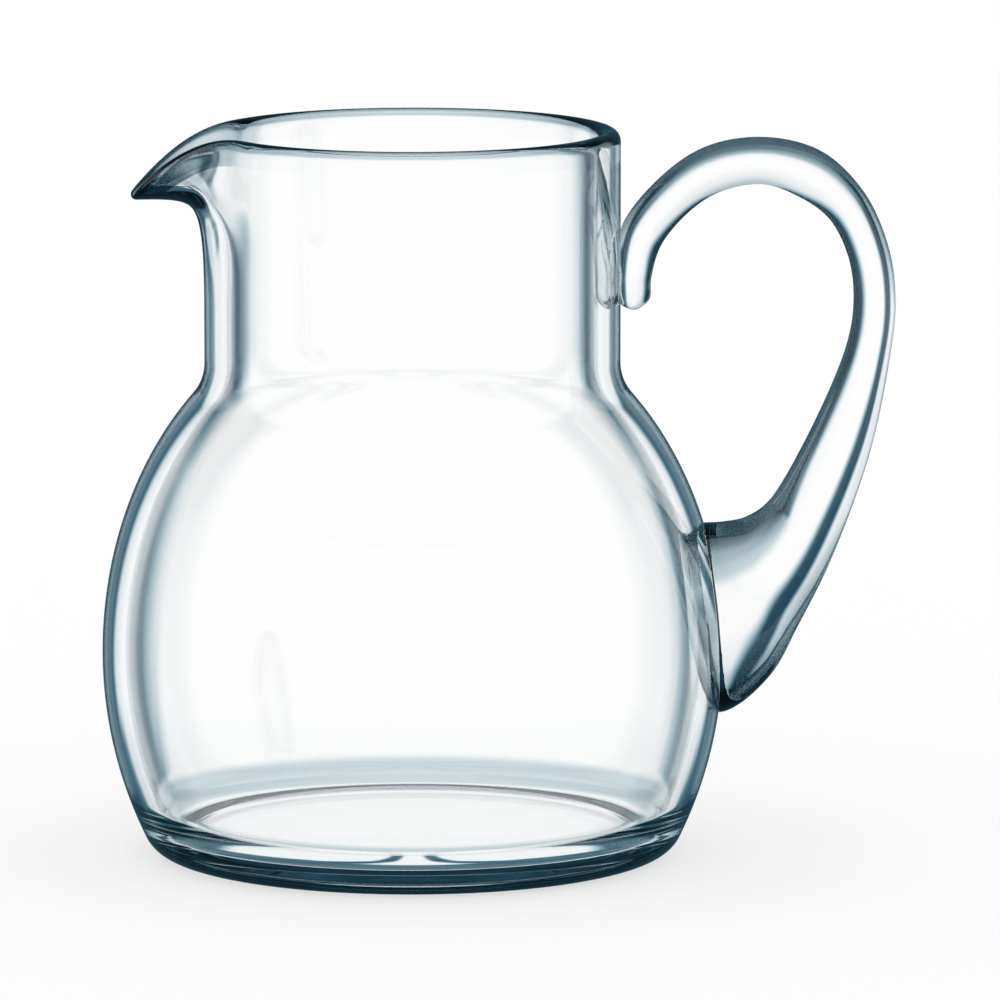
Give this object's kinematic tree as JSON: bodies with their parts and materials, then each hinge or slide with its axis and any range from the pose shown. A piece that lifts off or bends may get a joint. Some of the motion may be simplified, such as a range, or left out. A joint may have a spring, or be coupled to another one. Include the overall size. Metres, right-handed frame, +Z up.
{
  "type": "glass pitcher",
  "caption": "Clear glass pitcher with a straight neck, drawn pouring lip, round belly on a thick flat base, and a solid glass loop handle.",
  "frame": {"origin": "centre of the flat underside, on the vessel's axis", "axes": "+Z up along the vessel's axis, +X towards the handle, -X towards the pouring lip"},
  "size_m": [0.1688, 0.1322, 0.155],
  "materials": {
    "clear_glass": "fire-polished, clear, faint blue-green in the thick edges"
  },
  "bodies": {
    "root": {"body": "clear_glass", "handle": "clear_glass"}
  },
  "joints": []
}
